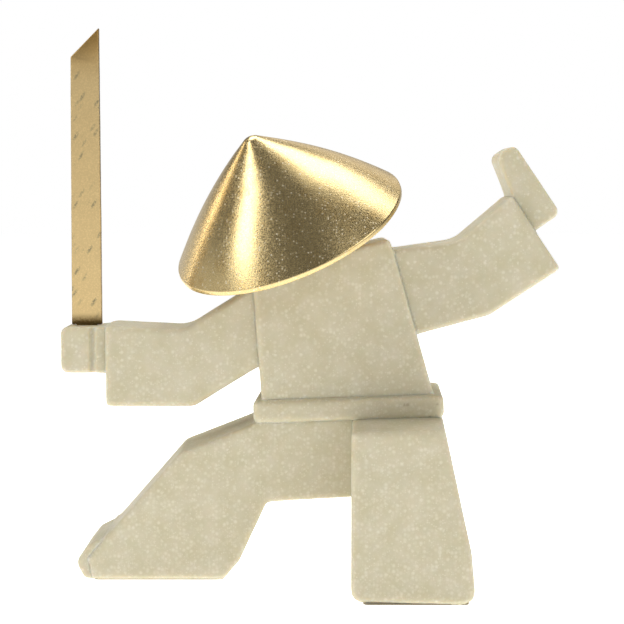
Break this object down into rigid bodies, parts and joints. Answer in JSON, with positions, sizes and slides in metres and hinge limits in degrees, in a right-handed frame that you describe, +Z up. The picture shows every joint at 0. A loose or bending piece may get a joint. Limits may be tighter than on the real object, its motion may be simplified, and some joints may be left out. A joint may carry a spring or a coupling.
{
  "type": "standing swordsman figurine",
  "caption": "Blocky swordsman figurine in cream stone resin, lunging, with a gilded cone hat and a gilded strip sword that lifts out of its fist.",
  "frame": {"origin": "middle of the figure's box, at the height of the surface that its felt pads rest on", "axes": "+Z up, along the sword; -Y to the front, where the hat's brim dips and the standing knee comes forward; +X to the viewer's right, the side of the open hand"},
  "size_m": [0.2054, 0.0956, 0.2274],
  "materials": {
    "stone_resin": "satin",
    "gold_leaf": "gloss",
    "gilt_strip": "satin",
    "pin_steel": "satin",
    "felt": "matte"
  },
  "bodies": {
    "figure": {"torso": "stone_resin", "waist_sash": "stone_resin", "head": "stone_resin", "sword_sleeve": "stone_resin", "sword_hand": "stone_resin", "open_sleeve": "stone_resin", "open_hand": "stone_resin", "lunge_leg": "stone_resin", "lunge_foot": "stone_resin", "standing_leg": "stone_resin", "hat": "gold_leaf", "lunge_pad": "felt", "standing_pad": "felt", "sword_shoulder_pin": "pin_steel", "open_shoulder_pin": "pin_steel", "neck_pin": "pin_steel", "hat_pin": "pin_steel", "lunge_hip_pin": "pin_steel", "standing_hip_pin": "pin_steel", "leg_tie_pin": "pin_steel"},
    "sword": {"sword_blade": "gilt_strip"}
  },
  "joints": [
    {"name": "sword_draw", "type": "slide", "parent": "figure", "child": "sword", "axis": [0, 0, 1], "range_m": [0, 0.0125]}
  ]
}
